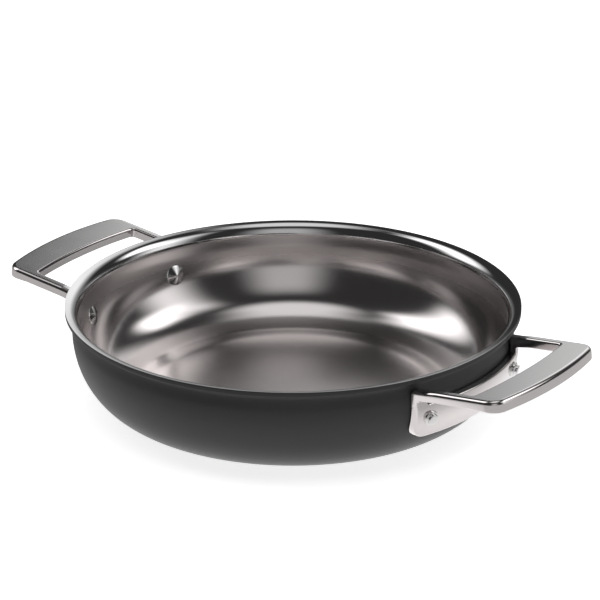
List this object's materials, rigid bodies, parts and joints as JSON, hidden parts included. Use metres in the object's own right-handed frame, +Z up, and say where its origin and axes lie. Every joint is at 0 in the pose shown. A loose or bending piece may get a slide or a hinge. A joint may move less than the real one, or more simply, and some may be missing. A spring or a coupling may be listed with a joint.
{
  "type": "two-handled frying pan",
  "caption": "Shallow round frying pan with a curved dark body, a bright flared lining and a riveted cast loop handle on each side.",
  "frame": {"origin": "centre of the flat underside, where the pan rests on a hob", "axes": "+X through the middle of one handle, +Y across the pan at right angles to the handles, +Z up through the open mouth"},
  "size_m": [0.449, 0.33, 0.074],
  "materials": {
    "dark_anodised": "hard-anodised, matt dark grey",
    "aluminium": "plain sheet, hidden inside the wall",
    "satin_steel": "satin inside, polished on the flared lip",
    "cast_steel": "satin faces with polished rounded edges",
    "bright_steel": "polished"
  },
  "bodies": {
    "root": {"anodised_shell": "dark_anodised", "aluminium_core": "aluminium", "steel_lining": "satin_steel", "handle_right": "cast_steel", "handle_left": "cast_steel", "rivet_right_front": "bright_steel", "rivet_right_rear": "bright_steel", "rivet_left_front": "bright_steel", "rivet_left_rear": "bright_steel"}
  },
  "joints": []
}
